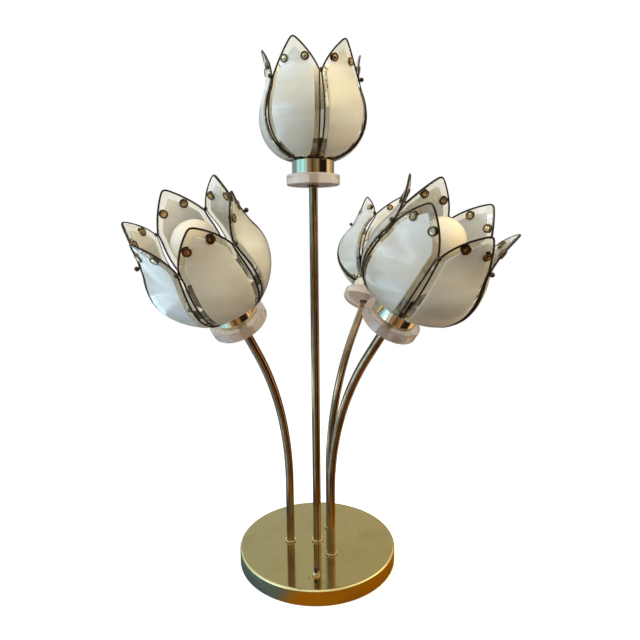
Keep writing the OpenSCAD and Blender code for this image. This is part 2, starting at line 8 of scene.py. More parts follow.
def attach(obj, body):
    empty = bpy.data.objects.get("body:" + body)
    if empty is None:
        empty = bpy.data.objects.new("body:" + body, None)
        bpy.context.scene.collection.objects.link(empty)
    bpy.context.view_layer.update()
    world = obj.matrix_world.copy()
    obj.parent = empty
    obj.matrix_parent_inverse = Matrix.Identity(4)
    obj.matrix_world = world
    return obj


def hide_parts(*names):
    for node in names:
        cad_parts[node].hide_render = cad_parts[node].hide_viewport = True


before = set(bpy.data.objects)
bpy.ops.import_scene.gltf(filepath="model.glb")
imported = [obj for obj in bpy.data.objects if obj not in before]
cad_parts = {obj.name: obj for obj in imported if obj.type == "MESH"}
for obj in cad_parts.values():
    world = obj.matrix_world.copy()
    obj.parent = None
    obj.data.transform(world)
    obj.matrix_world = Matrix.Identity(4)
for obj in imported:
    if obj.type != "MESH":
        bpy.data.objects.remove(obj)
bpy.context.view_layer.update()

scene = bpy.context.scene
scene.view_settings.view_transform = "Standard"

# Sizes of the lamp, in metres; the angles of its plan are in degrees
flowers = ("middle", "left", "right", "back")
play = 0.0001
base_r = 0.108
base_h = 0.0213
cover_wall = 0.0015
cover_lift = 0.0005
cover_chamfer = 0.0003
edge_r = 0.003
hole_circle_r = 0.0375
hole_angles = (None, 180, 300, 60)
bend_angles = (None, 237.7, 314, 52)
switch_spot = (-0.002, -0.077)
switch_hole_r = 0.0040
gland_hole_r = 0.0051
gland_z = 0.010
stem_r = 0.00555
stem_wall = 0.0012
stem_rise = 0.087
bend_r = 0.338
lean = math.radians(35.6)
neck = 0.051
past_disc = 0.0045
middle_h = 0.5098
stem_feet = (0.0046, 0.0125, 0.0125, 0.0125)
disc_r = 0.0337
disc_t = 0.0127
disc_rounding = 0.0013
cup_r = 0.0265
cup_bore_r = 0.0049
cup_wall = 0.0014
cup_floor = 0.001
cup_rounding = 0.0004
cup_z = 0.0128
rim_z = 0.0296
ferrule_r = 0.0067
globe_r = 0.025
globe_z = 0.114
petal_angles = (249.4, 290.6, 226.9, 267)

# Sizes of a petal
glass_t = 0.0024
edge_t = 0.0011
groove = 0.0005
groove_t = 0.0019
border = 0.0053
foot_widening = 0.0027
point_widening = 0.0030
foot_border = 0.0080
wire_r = 0.001
wire_off = 0.00115
wire_seat = 0.00015
glass_seat = 0.0003
foot_out = 0.0015
belly_x = 0.065
belly_z = 0.0792
shoulder_r = 0.070
shoulder_turn = math.radians(21)
flare_r = 0.072
back_x = 0.050
tip_z = 0.1574
join_z = 0.120
join_turn = math.radians(30)
arch_r = 0.110
side_mid_z = 0.075
join_gap = 0.0012
belly_gap = 0.0028
ball_r = 0.0026
clip_r = 0.0047
clip_t = 0.001
clip_z = 0.1365
clip_w = 0.0124


def turn_z(degrees):
    return Matrix.Rotation(math.radians(degrees), 4, "Z")


def stem_place(i):
    """The foot of stem i, with x along the way that it bends."""
    if i == 0:
        return Matrix.Identity(4)
    hole = math.radians(hole_angles[i])
    spot = Vector((hole_circle_r * math.cos(hole), hole_circle_r * math.sin(hole), 0))
    return Matrix.Translation(spot) @ turn_z(bend_angles[i])


def flower_place(i):
    """The underside of flower i's disc, with z along the flower's axis."""
    if i == 0:
        return Matrix.Translation((0, 0, middle_h))
    return (
        stem_place(i)
        @ Matrix.Translation((bend_r, 0, base_h + stem_rise))
        @ Matrix.Rotation(lean, 4, "Y")
        @ Matrix.Translation((-bend_r, 0, neck))
        @ turn_z(bend_angles[i]).inverted()
    )


flower_places = [flower_place(i) for i in range(4)]


def petal_places(i, shift=0):
    """The six petals of flower i, or the joins beside them with a shift of 30 degrees."""
    return [flower_places[i] @ turn_z(petal_angles[i] + shift + 60 * k) for k in range(6)]


# Shape of the glass: bowl, shoulder and flare on one line, bent round a line behind the axis
rim_r = cup_r - cup_wall / 2
foot_x = rim_r * math.cos(join_turn) + foot_out
foot_z = rim_z + wire_seat + wire_r
bowl_r = ((belly_x - foot_x) ** 2 + (belly_z - foot_z) ** 2) / (2 * (belly_x - foot_x))
bowl_c = (belly_x - bowl_r, belly_z)
shoulder_c = (belly_x - shoulder_r, belly_z)
flare_c = (
    shoulder_c[0] + (shoulder_r + flare_r) * math.cos(shoulder_turn),
    shoulder_c[1] + (shoulder_r + flare_r) * math.sin(shoulder_turn),
)
shoulder_top = shoulder_c[1] + shoulder_r * math.sin(shoulder_turn)
glass_foot = -math.acos((foot_x + wire_r + glass_seat - bowl_c[0]) / bowl_r)
wire_foot = -math.acos((foot_x - bowl_c[0]) / bowl_r)


def on_circle(c, r, a):
    return c[0] + r * math.cos(a), c[1] + r * math.sin(a)


def glass_x(z):
    """How far out the middle of a petal is at a height."""
    if z < belly_z:
        return bowl_c[0] + math.sqrt(max(0, bowl_r**2 - (z - bowl_c[1]) ** 2))
    if z < shoulder_top:
        return shoulder_c[0] + math.sqrt(shoulder_r**2 - (z - shoulder_c[1]) ** 2)
    return flare_c[0] - math.sqrt(flare_r**2 - (z - flare_c[1]) ** 2)


def glass_line(s, foot=glass_foot):
    """The same line by a length s along it, measured up from the angle of its foot in the bowl."""
    bowl_len = -foot * bowl_r
    shoulder_len = shoulder_turn * shoulder_r
    if s < bowl_len:
        return on_circle(bowl_c, bowl_r, foot + s / bowl_r)
    if s < bowl_len + shoulder_len:
        return on_circle(shoulder_c, shoulder_r, (s - bowl_len) / shoulder_r)
    return on_circle(flare_c, flare_r, math.pi + shoulder_turn - (s - bowl_len - shoulder_len) / flare_r)


def glass_point(x, w, z):
    """The glass at a width w, where its middle line is at x and z."""
    return Vector((math.sqrt((x + back_x) ** 2 - w**2) - back_x, w, z))


def glass_normal(p):
    """The way out of the glass at a point of it, in the petal's own frame."""
    r = math.hypot(p.x + back_x, p.y)
    x = r - back_x
    if p.z < belly_z:
        n = Vector((x - bowl_c[0], p.z - bowl_c[1]))
    elif p.z < shoulder_top:
        n = Vector((x - shoulder_c[0], p.z - shoulder_c[1]))
    else:
        n = Vector((flare_c[0] - x, flare_c[1] - p.z))
    n.normalize()
    return Vector((n.x * (p.x + back_x) / r, n.x * p.y / r, n.y))


# The side cut is an arc: the slot between two petals is widest at side_mid_z
side_half = join_z - side_mid_z
side_rise = belly_gap - join_gap
side_r = (side_half**2 + side_rise**2) / (2 * side_rise)
side_c = belly_gap + wire_off - side_r


def cut_width(x, gap):
    """Half the petal's width where its edge is a distance away from the join."""
    v = gap + back_x * math.sin(join_turn)
    return math.sqrt((x + back_x) ** 2 - v**2) * math.sin(join_turn) - v * math.cos(join_turn)


def side_width(x, z, out):
    """Half the petal's width inside the side cut."""
    return cut_width(x, side_c + math.sqrt(max(0, (side_r - out) ** 2 - (z - side_mid_z) ** 2)))


# The point is arched: each of its two sides is an arc from the join to the tip
corner_w = cut_width(glass_x(join_z), join_gap + wire_off)
chord = Vector((-corner_w, tip_z - join_z))
chord_n = Vector((-chord.y, chord.x)).normalized()
arch_c = Vector((corner_w / 2, (join_z + tip_z) / 2))
arch_c += chord_n * math.sqrt(arch_r**2 - (chord.length / 2) ** 2)


def half_width(x, z, out):
    """Half the petal's width at a height, out beyond the edge of the glass."""
    side = side_width(x, z, out)
    arch = arch_c.x + math.sqrt(max(0, (arch_r + out) ** 2 - (z - arch_c.y) ** 2))
    return max(0, min(side, arch)) if z > belly_z else side


def edge_points(count, out, foot):
    """Points up the petal's side at even lengths, from its foot to its tip."""
    top = top_length(out, foot)
    line = [glass_line(top * k / count, foot) for k in range(count + 1)]
    return [glass_point(x, half_width(x, z, out), z) for x, z in line]


def top_length(out, foot):
    """The length along the glass at which the two arcs of the point meet, found by halving."""
    top = arch_c.y + math.sqrt((arch_r + out) ** 2 - arch_c.x**2)
    low, high = 0.08, 0.18
    for _ in range(40):
        mid = (low + high) / 2
        if glass_line(mid, foot)[1] < top:
            low = mid
        else:
            high = mid
    return low


# Mesh making
def only(geometry, kind):
    return [g for g in geometry if isinstance(g, kind)]


def is_sharp(edge, degrees):
    return len(edge.link_faces) == 2 and edge.calc_face_angle(0) > math.radians(degrees)


def finish_mesh(bm, sharp=35):
    """Smooth faces all round, parted at the edges that are sharper than an angle."""
    bmesh.ops.recalc_face_normals(bm, faces=bm.faces)
    for face in bm.faces:
        face.smooth = True
    for edge in bm.edges:
        if is_sharp(edge, sharp):
            edge.smooth = False


def mesh_of(name, bm):
    mesh = bpy.data.meshes.new(name)
    bm.to_mesh(mesh)
    bm.free()
    return mesh


def add_object(name, data):
    made = bpy.data.objects.new(name, data)
    scene.collection.objects.link(made)
    return made


def evaluated_mesh(thing):
    """The mesh that an object's modifiers or curve give; the object itself is taken away."""
    bpy.context.view_layer.update()
    mesh = bpy.data.meshes.new_from_object(thing.evaluated_get(bpy.context.evaluated_depsgraph_get()))
    bpy.data.objects.remove(thing)
    return mesh


def make_piece(name, shape, materials, nodes=(), body="lamp", flat=False):
    """A visible piece from a bmesh or a mesh; its flat faces are shaded flat where asked."""
    mesh = mesh_of(name, shape) if isinstance(shape, bmesh.types.BMesh) else shape
    piece = add_object(name, mesh)
    for key in materials:
        mesh.materials.append(mat[key])
    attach(piece, body)
    if nodes:
        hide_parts(*nodes)
    if flat:
        piece.modifiers.new("flat_faces_stay_flat", "WEIGHTED_NORMAL").keep_sharp = True


def turned(profile, steps=96):
    """A solid of revolution from its closed section, as radius and height."""
    bm = bmesh.new()
    verts = [bm.verts.new((r, 0, z)) for r, z in profile]
    edges = [bm.edges.new(pair) for pair in zip(verts, verts[1:] + verts[:1])]
    bmesh.ops.spin(
        bm, geom=verts + edges, cent=(0, 0, 0), axis=(0, 0, 1),
        angle=2 * math.pi, steps=steps, use_merge=True,
    )
    bmesh.ops.remove_doubles(bm, verts=bm.verts, dist=1e-7)
    bmesh.ops.dissolve_degenerate(bm, edges=bm.edges, dist=1e-8)
    bmesh.ops.recalc_face_normals(bm, faces=bm.faces)
    return bm


def rounded(bm, width, segments=3, angle=40):
    """Rounds every edge that is sharper than an angle."""
    edges = [e for e in bm.edges if is_sharp(e, angle)]
    bmesh.ops.bevel(
        bm, geom=edges, offset=width, segments=segments, profile=0.5,
        affect="EDGES", material=-1, clamp_overlap=True,
    )
    return bm


def repeated(bm, places):
    """Copies of one shape, one at each place, as one mesh."""
    one = mesh_of("one", bm)
    out = bmesh.new()
    for place in places:
        start = len(out.verts)
        out.from_mesh(one)
        out.verts.ensure_lookup_table()
        bmesh.ops.transform(out, matrix=place, verts=out.verts[start:])
    bpy.data.meshes.remove(one)
    return out


def arc_points(c, r, a0, a1, steps):
    return [on_circle(c, r, a0 + (a1 - a0) * k / steps) for k in range(steps + 1)]


def copy_of(node, name, material, body="lamp"):
    """A joined and smoothed copy of a CAD node."""
    bm = bmesh.new()
    bm.from_mesh(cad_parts[node].data)
    bmesh.ops.remove_doubles(bm, verts=bm.verts, dist=1e-6)
    finish_mesh(bm, 30)
    for face in bm.faces:
        face.material_index = 0
    make_piece(name, bm, [material], [node], body)


# Shader tools
def link(tree, source, target):
    tree.links.new(source, target)


def set_socket(tree, socket, value):
    """Gives a socket a number, a colour or the output of another node."""
    if isinstance(value, (int, float)):
        socket.default_value = value
    elif isinstance(value, tuple):
        socket.default_value = value + (1.0,)
    else:
        link(tree, value, socket)


def math_node(tree, operation, a, b, clamp=False):
    made = tree.nodes.new("ShaderNodeMath")
    made.operation = operation
    made.use_clamp = clamp
    set_socket(tree, made.inputs[0], a)
    set_socket(tree, made.inputs[1], b)
    return made.outputs[0]


def product(tree, first, *others):
    for other in others:
        first = math_node(tree, "MULTIPLY", first, other)
    return first


def ramp_node(tree, value, low, high, to_low=0.0, to_high=1.0, smooth=True):
    """Leads a value from one range to another, held at both ends."""
    made = tree.nodes.new("ShaderNodeMapRange")
    made.interpolation_type = "SMOOTHSTEP" if smooth else "LINEAR"
    link(tree, value, made.inputs["Value"])
    made.inputs["From Min"].default_value = low
    made.inputs["From Max"].default_value = high
    made.inputs["To Min"].default_value = to_low
    made.inputs["To Max"].default_value = to_high
    return made.outputs[0]


def mix_colour(tree, factor, a, b, blend="MIX"):
    made = tree.nodes.new("ShaderNodeMix")
    made.data_type = "RGBA"
    made.blend_type = blend
    # A colour mix has its factor at 0 and its two colours at 6 and 7
    for k, value in ((0, factor), (6, a), (7, b)):
        set_socket(tree, made.inputs[k], value)
    return made.outputs[2]


def noise_at(tree, vector, scale, detail, rough):
    made = tree.nodes.new("ShaderNodeTexNoise")
    made.inputs["Scale"].default_value = scale
    made.inputs["Detail"].default_value = detail
    made.inputs["Roughness"].default_value = rough
    link(tree, vector, made.inputs["Vector"])
    return made.outputs["Fac"]


def stretched(tree, vector, scale, turn=0):
    made = tree.nodes.new("ShaderNodeMapping")
    made.inputs["Rotation"].default_value = (0, 0, math.radians(turn))
    made.inputs["Scale"].default_value = scale
    link(tree, vector, made.inputs["Vector"])
    return made.outputs["Vector"]


def axes(tree, vector):
    """The x, y and z of a vector."""
    parts = tree.nodes.new("ShaderNodeSeparateXYZ")
    link(tree, vector, parts.inputs[0])
    return tuple(parts.outputs)


def distance_to(tree, vector, spot):
    made = tree.nodes.new("ShaderNodeVectorMath")
    made.operation = "DISTANCE"
    link(tree, vector, made.inputs[0])
    made.inputs[1].default_value = spot
    return made.outputs["Value"]


def new_group(name, colours, numbers, outputs):
    """A shader node group that takes a vector, colours and numbers."""
    tree = bpy.data.node_groups.new(name, "ShaderNodeTree")
    inputs = [("Vector", "Vector")] + [(label, "Color") for label in colours]
    inputs += [(label, "Float") for label in numbers]
    for label, kind in inputs:
        tree.interface.new_socket(label, in_out="INPUT", socket_type=f"NodeSocket{kind}")
    for label in outputs:
        kind = "Color" if label == "Color" else "Float"
        tree.interface.new_socket(label, in_out="OUTPUT", socket_type=f"NodeSocket{kind}")
    return tree, tree.nodes.new("NodeGroupInput").outputs, tree.nodes.new("NodeGroupOutput").inputs


def handled_metal():
    """Handling marks on metal: cloudy tarnish, finger smears and fine hairlines."""
    tree, given, out = new_group(
        "handled_metal", ("Clean", "Tarnished"), ("Tarnish", "Gloss", "Smears"),
        ("Color", "Roughness", "Height"),
    )
    place = given["Vector"]
    clouds = ramp_node(tree, noise_at(tree, place, 26, 5, 0.6), 0.42, 0.72)
    spots = ramp_node(tree, noise_at(tree, place, 210, 3, 0.6), 0.62, 0.8, 0, 0.5)
    amount = math_node(tree, "ADD", clouds, spots)
    amount = math_node(tree, "MULTIPLY", amount, given["Tarnish"], clamp=True)
    link(tree, mix_colour(tree, amount, given["Clean"], given["Tarnished"]), out["Color"])
    smear = noise_at(tree, stretched(tree, place, (60, 22, 35)), 1, 4, 0.65)
    smear = product(tree, ramp_node(tree, smear, 0.4, 0.75), given["Smears"])
    rough = math_node(tree, "ADD", given["Gloss"], smear)
    rough = math_node(tree, "ADD", rough, product(tree, amount, 0.12))
    link(tree, rough, out["Roughness"])
    lines = noise_at(tree, stretched(tree, place, (900, 140, 500)), 1, 2, 0.5)
    link(tree, ramp_node(tree, lines, 0.3, 0.8), out["Height"])
    return tree


def drawn_lines():
    """Fine parallel lines left by drawing or brushing, along one axis."""
    tree, given, out = new_group("drawn_lines", (), ("Depth",), ("Shade", "Height"))
    wide = noise_at(tree, given["Vector"], 1, 2, 0.5)
    fine = noise_at(tree, given["Vector"], 3.2, 2, 0.5)
    both = math_node(tree, "ADD", product(tree, wide, 0.6), product(tree, fine, 0.4))
    link(tree, product(tree, ramp_node(tree, both, 0.36, 0.64), given["Depth"]), out["Shade"])
    link(tree, both, out["Height"])
    return tree


def dusty_glass():
    """Slow waves, dust and wiping streaks on glass and plastic."""
    tree, given, out = new_group(
        "dusty_glass", ("Tint", "Shade"), ("Gloss", "Dust"), ("Color", "Roughness", "Height"),
    )
    place = given["Vector"]
    slow = noise_at(tree, place, 18, 2, 0.45)
    shaded = ramp_node(tree, slow, 0.35, 0.68)
    link(tree, mix_colour(tree, shaded, given["Tint"], given["Shade"]), out["Color"])
    streaks = ramp_node(tree, noise_at(tree, stretched(tree, place, (150, 150, 18)), 1, 4, 0.6), 0.5, 0.8)
    specks = ramp_node(tree, noise_at(tree, place, 900, 1, 0.5), 0.72, 0.8)
    dust = product(tree, math_node(tree, "ADD", streaks, specks), given["Dust"])
    link(tree, math_node(tree, "ADD", given["Gloss"], dust), out["Roughness"])
    link(tree, slow, out["Height"])
    return tree


groups = {"metal": handled_metal(), "lines": drawn_lines(), "glass": dusty_glass()}


class Finish:
    """A material with one Principled shader and the object's own coordinates."""

    def __init__(self, name, **values):
        self.material = bpy.data.materials.new(name)
        self.material.use_nodes = True
        self.tree = self.material.node_tree
        self.shader = self.tree.nodes["Principled BSDF"]
        for key, value in values.items():
            self.shader.inputs[key.replace("_", " ")].default_value = value
        self.place = self.tree.nodes.new("ShaderNodeTexCoord").outputs["Object"]

    def group(self, kind, vector=None, **values):
        made = self.tree.nodes.new("ShaderNodeGroup")
        made.node_tree = groups[kind]
        link(self.tree, vector or self.place, made.inputs["Vector"])
        for key, value in values.items():
            set_socket(self.tree, made.inputs[key], value)
        return made.outputs

    def mix(self, factor, a, b):
        return mix_colour(self.tree, factor, a, b)

    def wire(self, source, target):
        link(self.tree, source, self.shader.inputs[target])

    def bump(self, height, strength, distance):
        made = self.tree.nodes.new("ShaderNodeBump")
        made.inputs["Strength"].default_value = strength
        made.inputs["Distance"].default_value = distance
        link(self.tree, height, made.inputs["Height"])
        self.wire(made.outputs["Normal"], "Normal")

    def done(self, marks, strength, distance, colour=None, rough=None, height=None):
        """Joins the marks to the shader; what is given by name stands in for one of them."""
        self.wire(colour or marks["Color"], "Base Color")
        self.wire(rough or marks["Roughness"], "Roughness")
        self.bump(height or marks["Height"], strength, distance)
        return self.material


def handled(name, clean, tarnished, tarnish, gloss, smears):
    finish = Finish(name, Metallic=1.0)
    marks = finish.group(
        "metal", Clean=clean, Tarnished=tarnished, Tarnish=tarnish, Gloss=gloss, Smears=smears,
    )
    return finish.done(marks, strength=0.15, distance=0.00002)


# Light brass painted along the base's rounded edge as a highlight, and the pits in its top: x, y, size
edge_highlight_brass = (0.86, 0.76, 0.36)
pits = ((-0.0111, -0.0834, 0.0008), (-0.0233, 0.0673, 0.0007), (0.071, 0.011, 0.0005))


def cover_brass():
    """Polished top of the base, with its pits and scuffs where the photo has them, and a painted highlight
    round its edge.
    """
    finish = Finish("cover_brass", Metallic=1.0)
    tree, place = finish.tree, finish.place
    marks = finish.group(
        "metal", Clean=(0.335, 0.285, 0.12), Tarnished=(0.27, 0.22, 0.082),
        Tarnish=0.45, Gloss=0.05, Smears=0.08,
    )
    # Painted highlight: light brass along the rolled edge at the top of the cover
    edge_highlight = ramp_node(tree, axes(tree, place)[2], base_h - edge_r * 0.10, base_h - edge_r * 0.02, 1, 0)
    colour = finish.mix(edge_highlight, marks["Color"], edge_highlight_brass)
    for x, y, size in pits:
        pit = ramp_node(tree, distance_to(tree, place, (x, y, base_h)), size, size * 1.6, 1, 0)
        colour = finish.mix(pit, colour, (0.04, 0.02, 0.008))
    near = ramp_node(tree, distance_to(tree, place, (0.045, 0.022, base_h)), 0.006, 0.030, 1, 0)
    hairs = noise_at(tree, stretched(tree, place, (520, 70, 60), turn=35), 1, 2, 0.5)
    scuff = product(tree, near, ramp_node(tree, hairs, 0.62, 0.72))
    colour = finish.mix(product(tree, scuff, 0.5), colour, (0.55, 0.47, 0.24))
    rough = math_node(tree, "ADD", marks["Roughness"], product(tree, scuff, 0.2))
    return finish.done(marks, strength=0.1, distance=0.00001, colour=colour, rough=rough)


def rim_brass():
    """Brushed side of the base: lines round it, browned lacquer, a painted bluish reflection on the left and
    a painted highlight along its top edge.
    """
    finish = Finish("rim_brass", Metallic=1.0)
    tree = finish.tree
    marks = finish.group(
        "metal", Clean=(0.66, 0.47, 0.14), Tarnished=(0.50, 0.33, 0.08),
        Tarnish=0.6, Gloss=0.22, Smears=0.12,
    )
    lines = finish.group("lines", stretched(tree, finish.place, (9, 9, 4200)), Depth=0.45)
    colour = finish.mix(lines["Shade"], marks["Color"], (0.40, 0.25, 0.06))
    x, _, z = axes(tree, finish.place)
    # Painted reflection: cool bluish tint of the window on the left part of the side
    window_reflection = product(
        tree, ramp_node(tree, x, -0.024, -0.066), ramp_node(tree, x, -0.107, -0.094),
        ramp_node(tree, lines["Height"], 0.2, 0.7, 0.95, 0.6),
    )
    colour = finish.mix(window_reflection, colour, (0.46, 0.52, 0.40))
    # Painted highlight: light brass along the rounded top edge of the side
    edge_highlight = ramp_node(tree, z, base_h - edge_r * 0.75, base_h - edge_r * 0.45)
    colour = finish.mix(edge_highlight, colour, edge_highlight_brass)
    return finish.done(marks, strength=0.25, distance=0.00003, colour=colour, height=lines["Height"])


def stem_brass():
    """Drawn tube: long dark lines along it and brown tarnish."""
    finish = Finish("stem_brass", Metallic=1.0)
    marks = finish.group(
        "metal", Clean=(0.46, 0.35, 0.22), Tarnished=(0.20, 0.12, 0.06),
        Tarnish=0.7, Gloss=0.06, Smears=0.05,
    )
    lines = finish.group("lines", stretched(finish.tree, finish.place, (1100, 1100, 7)), Depth=0.75)
    colour = finish.mix(lines["Shade"], marks["Color"], (0.13, 0.07, 0.03))
    return finish.done(marks, strength=0.15, distance=0.00002, colour=colour, height=lines["Height"])


def opal_glass():
    """Milky body of the petals with a polished face and pale wisps across it."""
    finish = Finish(
        "opal_glass", Coat_Weight=0.8, Coat_Roughness=0.03, IOR=1.5, Transmission_Weight=0.5,
    )
    tree = finish.tree
    waves = finish.group(
        "glass", Tint=(0.745, 0.725, 0.635), Shade=(0.68, 0.655, 0.56), Gloss=0.42, Dust=0.1,
    )
    wisps = noise_at(tree, stretched(tree, finish.place, (9, 9, 62)), 1, 4, 0.6)
    wisps = product(tree, ramp_node(tree, wisps, 0.50, 0.68), 0.42)
    colour = finish.mix(wisps, waves["Color"], (0.90, 0.90, 0.88))
    return finish.done(waves, strength=0.06, distance=0.002, colour=colour)


def clear_glass():
    """Bevelled border of the petals."""
    finish = Finish("bevelled_glass", Transmission_Weight=1.0, IOR=1.5)
    waves = finish.group(
        "glass", Tint=(0.85, 0.82, 0.71), Shade=(0.77, 0.72, 0.59), Gloss=0.03, Dust=0.06,
    )
    return finish.done(waves, strength=0.03, distance=0.001)


def hazy_acrylic():
    """Old clear acrylic of the discs: a little milky, warm in its depth."""
    finish = Finish(
        "hazy_acrylic", Transmission_Weight=0.66, IOR=1.49, Coat_Weight=0.5, Coat_Roughness=0.03,
    )
    waves = finish.group(
        "glass", Tint=(0.72, 0.63, 0.54), Shade=(0.66, 0.56, 0.47), Gloss=0.10, Dust=0.1,
    )
    return finish.done(waves, strength=0.03, distance=0.001)


def soft_finish(name, tint, shade, gloss, **values):
    finish = Finish(name, **values)
    waves = finish.group("glass", Tint=tint, Shade=shade, Gloss=gloss, Dust=0.15)
    return finish.done(waves, strength=0.1, distance=0.0002)


def felt_cloth():
    """Short fibres of the pad under the base."""
    finish = Finish("felt_cloth", Roughness=0.95, Sheen_Weight=0.4)
    fibres = noise_at(finish.tree, finish.place, 900, 4, 0.7)
    dense = ramp_node(finish.tree, fibres, 0.35, 0.65)
    finish.wire(finish.mix(dense, (0.012, 0.022, 0.014), (0.035, 0.06, 0.04)), "Base Color")
    finish.bump(fibres, strength=0.6, distance=0.0004)
    return finish.material


mat = {
    "cover": cover_brass(), "rim": rim_brass(), "stem": stem_brass(), "opal": opal_glass(),
    "clear": clear_glass(), "acrylic": hazy_acrylic(), "felt": felt_cloth(),
}

# Metals: name, colour where clean and where tarnished, share of tarnish, gloss, smears
metals = {
    "cup": ("cup_brass", (0.83, 0.74, 0.52), (0.55, 0.43, 0.24), 0.25, 0.035, 0.05),
    "ring": ("ring_brass", (0.72, 0.60, 0.36), (0.36, 0.25, 0.12), 0.6, 0.12, 0.1),
    "ferrule": ("ferrule_brass", (0.52, 0.45, 0.34), (0.25, 0.17, 0.09), 0.6, 0.16, 0.1),
    "strap": ("strap_brass", (0.15, 0.125, 0.08), (0.06, 0.045, 0.03), 0.6, 0.16, 0.1),
    "wire": ("wire_bronze", (0.07, 0.05, 0.03), (0.02, 0.014, 0.01), 0.7, 0.14, 0.08),
    "ball": ("ball_bronze", (0.12, 0.085, 0.05), (0.03, 0.02, 0.012), 0.7, 0.10, 0.08),
    "clip_rim": ("clip_bronze", (0.16, 0.10, 0.055), (0.05, 0.03, 0.018), 0.8, 0.18, 0.1),
    "clip_face": ("clip_gilt", (0.62, 0.44, 0.22), (0.24, 0.14, 0.07), 0.7, 0.14, 0.1),
    "zinc": ("zinc_plate", (0.60, 0.61, 0.62), (0.38, 0.38, 0.38), 0.5, 0.3, 0.15),
    "iron": ("cast_iron", (0.10, 0.105, 0.11), (0.05, 0.045, 0.04), 0.5, 0.55, 0.15),
}
for key, row in metals.items():
    mat[key] = handled(*row)

# Plastics and the like: name, colour where light and where dark, gloss
plastics = {
    "card": ("socket_card", (0.66, 0.63, 0.54), (0.58, 0.54, 0.45), 0.55),
    "phenolic": ("moulded_black", (0.014, 0.012, 0.011), (0.022, 0.018, 0.015), 0.32),
    "lead": ("lead_sleeve", (0.55, 0.50, 0.38), (0.47, 0.42, 0.32), 0.5),
}
for key, row in plastics.items():
    mat[key] = soft_finish(*row)
mat["button"] = soft_finish(
    "switch_brown", (0.020, 0.009, 0.006), (0.032, 0.014, 0.008), 0.16, Coat_Weight=0.5,
)
# Pale ground line where the bevel starts, also a painted highlight along it
mat["ground"] = soft_finish(
    "ground_glass_highlight_line", (0.86, 0.85, 0.78), (0.80, 0.78, 0.70), 0.3, Transmission_Weight=0.5,
)
mat["globe"] = soft_finish(
    "opal_bulb", (0.76, 0.64, 0.52), (0.74, 0.61, 0.48), 0.2, Coat_Weight=0.15,
    Coat_Roughness=0.05, Subsurface_Weight=0.3, Subsurface_Scale=0.004,
)


# Base and stems
def cover_cutters():
    """Rods that cut the holes of the stems, the switch and the gland out of the cover."""
    holes = [(Matrix.Translation(stem_place(i).translation), stem_r + play, 0.1) for i in range(4)]
    holes.append((Matrix.Translation((*switch_spot, 0)), switch_hole_r, 0.1))
    back = Matrix.Translation((0, base_r, gland_z)) @ Matrix.Rotation(math.pi / 2, 4, "X")
    holes.append((back, gland_hole_r, 0.03))
    bm = bmesh.new()
    for place, radius, depth in holes:
        bmesh.ops.create_cone(
            bm, cap_ends=True, segments=48, radius1=radius, radius2=radius, depth=depth, matrix=place,
        )
    return add_object("cutters", mesh_of("cutters", bm))


def base_cover():
    """Spun dish with a rolled edge, its holes cut after."""
    top, under = base_h, base_h - cover_wall
    inner, flat_r = base_r - cover_wall, 0.02
    section = [
        (inner, cover_lift), (base_r - cover_chamfer, cover_lift), (base_r, cover_lift + cover_chamfer),
    ]
    section += arc_points((base_r - edge_r, top - edge_r), edge_r, 0, math.pi / 2, 10)
    section += [(flat_r, top), (0, top), (0, under), (flat_r, under)]
    section += arc_points((inner - edge_r + cover_wall, top - edge_r), edge_r - cover_wall, math.pi / 2, 0, 6)
    bm = turned(section, 256)
    for face in bm.faces:
        spot = face.calc_center_median()
        on_side = spot.z < top - edge_r * 0.35 and math.hypot(spot.x, spot.y) > inner - 0.001
        face.material_index = 1 if on_side else 0
    finish_mesh(bm, 30)
    shell = add_object("base_shell", mesh_of("base_shell", bm))
    for key in ("cover", "rim"):
        shell.data.materials.append(mat[key])
    cutter = cover_cutters()
    cut = shell.modifiers.new("holes", "BOOLEAN")
    cut.operation = "DIFFERENCE"
    cut.object = cutter
    cut.solver = "EXACT"
    bm = bmesh.new()
    bm.from_mesh(evaluated_mesh(shell))
    bpy.data.objects.remove(cutter)
    finish_mesh(bm, 30)
    make_piece("base_cover_shell", bm, ["cover", "rim"], ["base_cover"], flat=True)


def stem_seats():
    """Low rings round the feet of the stems, with a rounded top edge."""
    low, high = 0.00005, 0.00265
    outer, bore, rounding = 0.0077, stem_r + play, 0.0006
    bm = rounded(turned([(bore, low), (outer, low), (outer, high), (bore, high)], 64), rounding)
    finish_mesh(bm)
    places = [Matrix.Translation((0, 0, base_h)) @ stem_place(i) for i in range(4)]
    make_piece("stem_seats", repeated(bm, places), ["ring"], ["stem_seat_rings"], flat=True)


